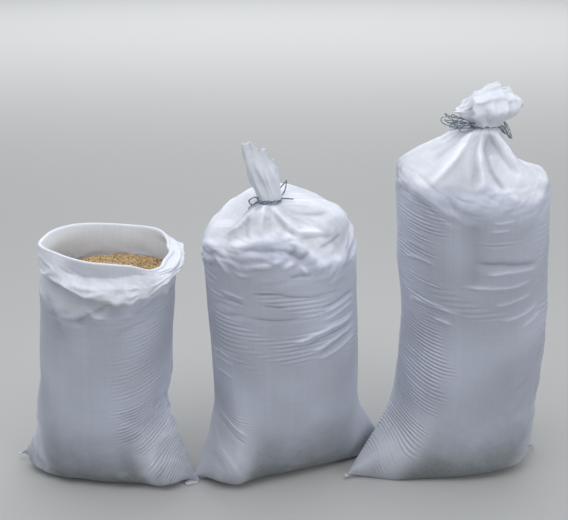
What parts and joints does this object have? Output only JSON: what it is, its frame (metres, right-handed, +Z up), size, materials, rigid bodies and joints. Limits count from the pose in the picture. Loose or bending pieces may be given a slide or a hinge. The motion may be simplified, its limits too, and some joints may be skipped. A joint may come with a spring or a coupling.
{
  "type": "row of filled woven grain sacks",
  "caption": "Filled woven plastic grain sacks of rising height, standing side by side; one open with its mouth rolled down over loose wheat, the others tied at the neck with blue twine.",
  "frame": {"origin": "middle of the row's footprint, on the floor", "axes": "+X along the row from the small sack to the large one, +Y to the back, +Z up"},
  "size_m": [1.4084, 0.389, 1.0164],
  "materials": {
    "woven_white": "satin",
    "wheat": "matte",
    "blue_twine": "matte"
  },
  "bodies": {
    "root": {"small_bag": "woven_white", "small_grain": "wheat", "medium_bag": "woven_white", "medium_grain": "wheat", "medium_tie": "blue_twine", "large_bag": "woven_white", "large_grain": "wheat", "large_tie": "blue_twine"}
  },
  "joints": []
}
